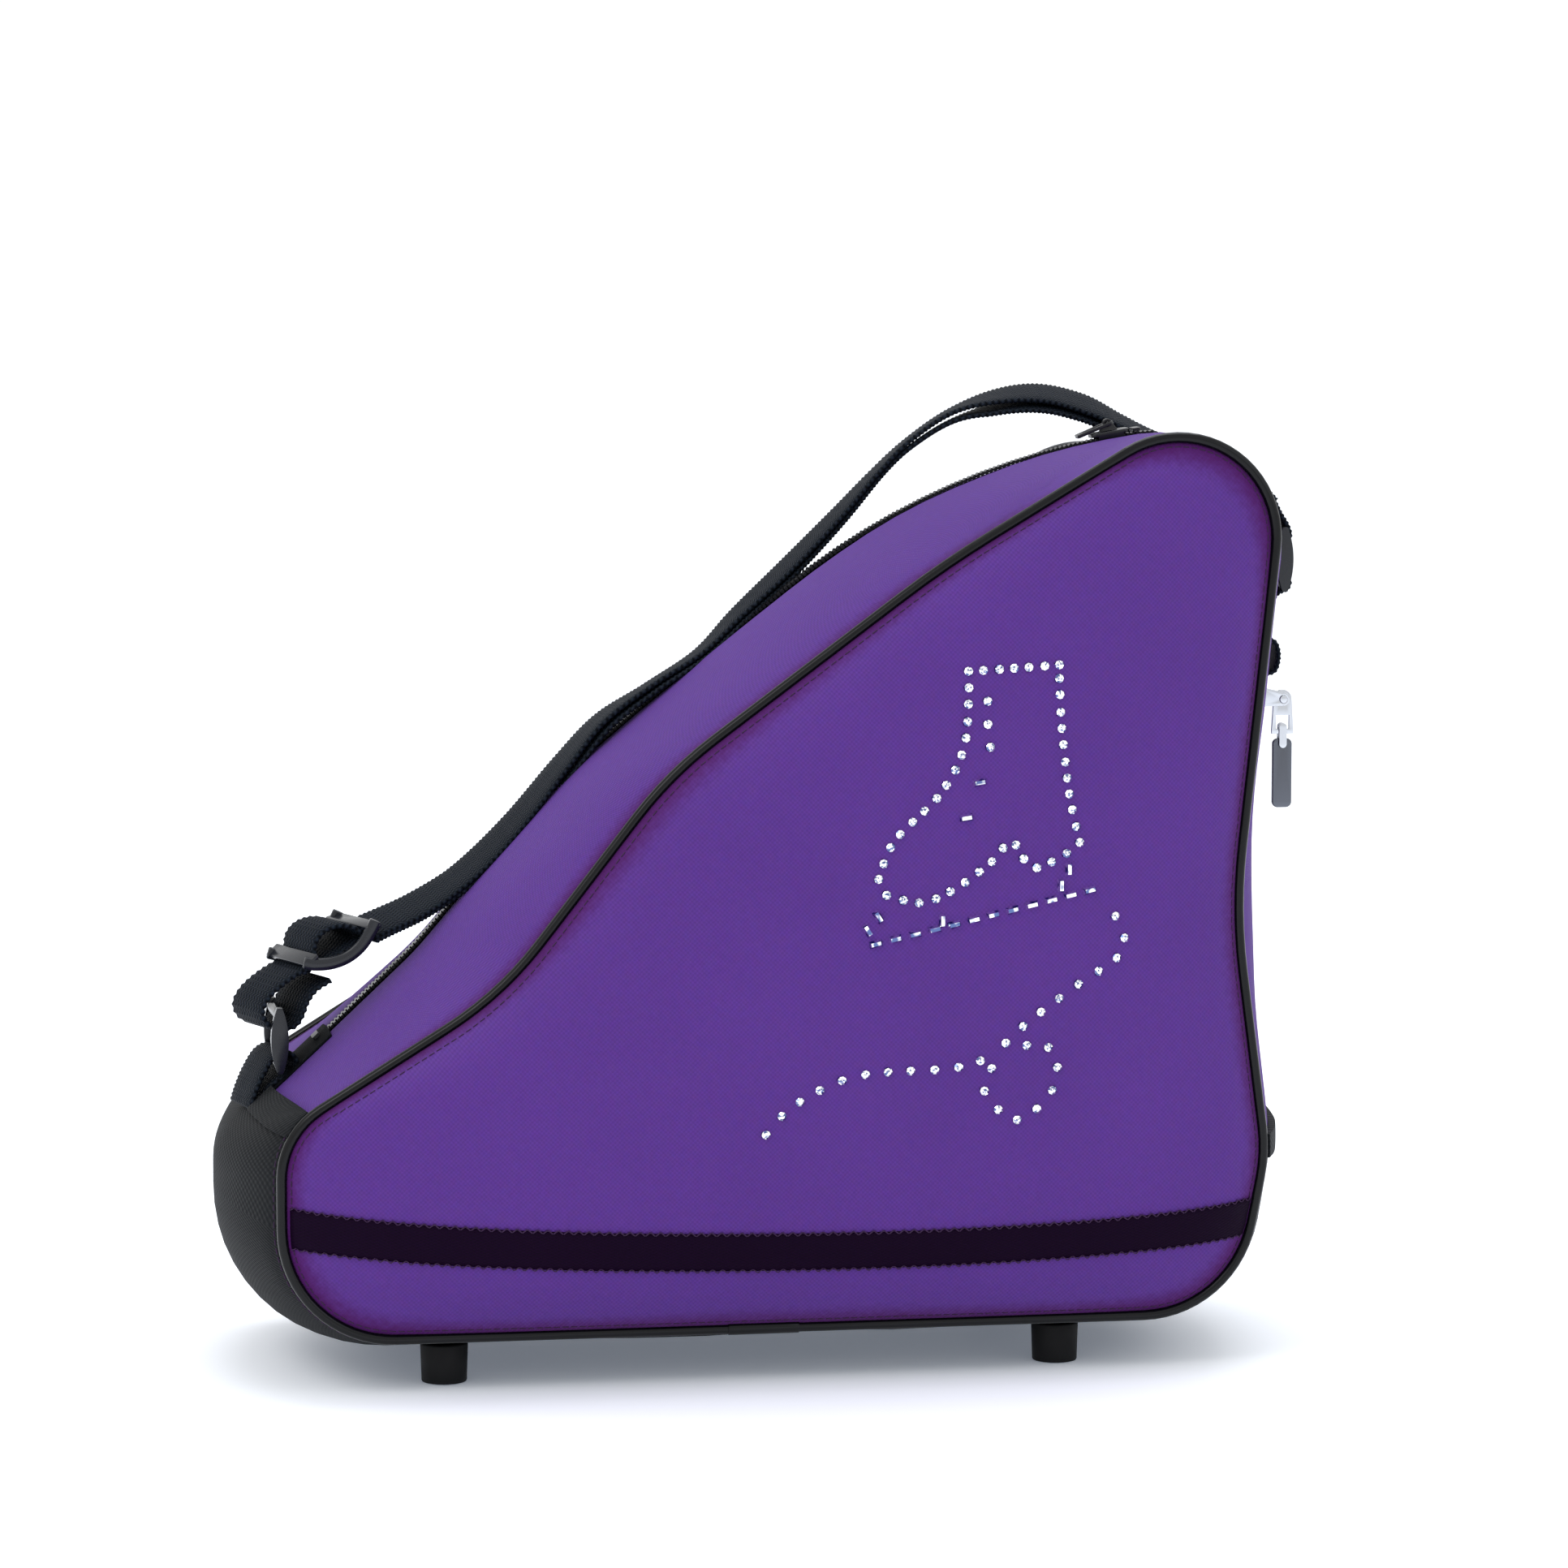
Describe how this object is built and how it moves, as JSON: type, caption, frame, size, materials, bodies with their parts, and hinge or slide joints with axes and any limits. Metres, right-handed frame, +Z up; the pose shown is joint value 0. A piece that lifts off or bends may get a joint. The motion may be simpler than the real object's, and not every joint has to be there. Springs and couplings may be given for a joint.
{
  "type": "skate bag",
  "caption": "Boot-shaped padded skate bag with piped gusset, black base on feet, two zippers, crystal skate motif and adjustable shoulder strap.",
  "frame": {"origin": "bottom centre of the bag's box, on the floor that the feet stand on; the decorated front panel faces -Y and the toe points to -X", "axes": "+X from toe to heel, +Y from the front panel to the back panel, +Z up"},
  "size_m": [0.4253, 0.2113, 0.3678],
  "materials": {
    "canvas": "satin",
    "base_cloth": "matte",
    "piping": "gloss",
    "ribbon": "satin",
    "binding": "matte",
    "foam": "matte",
    "lining": "matte",
    "crystal": "gloss",
    "board": "matte",
    "feet": "matte",
    "steel": "satin",
    "zip_tape": "matte",
    "zip_coil": "satin",
    "black_metal": "satin",
    "nickel": "gloss",
    "satin_nickel": "satin",
    "plastic": "gloss",
    "webbing": "matte"
  },
  "bodies": {
    "bag": {"front_panel": "canvas", "back_panel": "canvas", "front_zip_gusset": "canvas", "rear_zip_gusset": "canvas", "heel_gusset": "canvas", "base_wrap": "base_cloth", "toe_hem": "base_cloth", "heel_hem": "base_cloth", "front_piping": "piping", "back_piping": "piping", "front_ribbon": "ribbon", "back_ribbon": "ribbon", "front_seam_binding": "binding", "back_seam_binding": "binding", "front_foam": "foam", "back_foam": "foam", "gusset_foam": "foam", "front_lining": "lining", "back_lining": "lining", "gusset_lining": "lining", "round_crystals": "crystal", "baguette_crystals": "crystal", "base_board": "board", "feet": "feet", "foot_screws": "steel", "foot_washers": "steel", "main_zip_tapes": "zip_tape", "heel_zip_tapes": "zip_tape", "main_zip_coil": "zip_coil", "heel_zip_coil": "zip_coil", "main_zip_stops": "zip_coil", "heel_zip_stop": "zip_coil", "toe_ring_tab": "webbing", "heel_ring_tab": "webbing", "heel_zip_tab": "webbing", "strap_toe_loop": "webbing", "strap_heel_loop": "webbing", "strap_upper_run": "webbing", "strap_return_run": "webbing"},
    "main_slider": {"main_slider": "black_metal"},
    "main_pull": {"main_pull": "black_metal"},
    "heel_slider": {"heel_slider": "black_metal", "pull_rivet": "nickel"},
    "pull_loop": {"pull_loop": "nickel"},
    "tag_link": {"tag_link": "nickel"},
    "pull_tag": {"pull_tag": "satin_nickel"},
    "toe_ring": {"toe_ring": "plastic"},
    "heel_ring": {"heel_ring": "plastic"},
    "strap_slide": {"strap_slide": "plastic", "strap_slide_loop": "webbing"}
  },
  "joints": [
    {"name": "main_zip_travel", "type": "hinge", "parent": "bag", "child": "main_slider", "pos_m": [0.18424, 0, 0.07289], "axis": [0, -1, 0], "range_deg": [0, 22]},
    {"name": "main_pull_lift", "type": "hinge", "parent": "main_slider", "child": "main_pull", "pos_m": [0.13629, 0, 0.35403], "axis": [0, 1, 0], "range_deg": [0, 160]},
    {"name": "heel_zip_travel", "type": "hinge", "parent": "bag", "child": "heel_slider", "pos_m": [0.85055, 0, 0.17943], "axis": [0, -1, 0], "range_deg": [0, 10.5]},
    {"name": "pull_loop_swing", "type": "hinge", "parent": "heel_slider", "child": "pull_loop", "pos_m": [0.20684, 0, 0.24655], "axis": [0, -1, 0], "range_deg": [-2, 110]},
    {"name": "tag_link_swing", "type": "hinge", "parent": "pull_loop", "child": "tag_link", "pos_m": [0.20684, 0, 0.23568], "axis": [0, -1, 0], "range_deg": [-5, 20]},
    {"name": "pull_tag_swing", "type": "hinge", "parent": "tag_link", "child": "pull_tag", "pos_m": [0.20684, 0, 0.22895], "axis": [0, -1, 0], "range_deg": [-5, 30]},
    {"name": "toe_ring_tilt", "type": "hinge", "parent": "bag", "child": "toe_ring", "pos_m": [-0.186, 0, 0.1155], "axis": [0, 1, 0], "range_deg": [-3, 3]},
    {"name": "heel_ring_tilt", "type": "hinge", "parent": "bag", "child": "heel_ring", "pos_m": [0.2105, 0.028, 0.291], "axis": [0, 1, 0], "range_deg": [-3, 3]},
    {"name": "strap_slide_travel", "type": "slide", "parent": "bag", "child": "strap_slide", "axis": [0.8824, 0, 0.4706], "range_m": [-0.001, 0.012]}
  ]
}
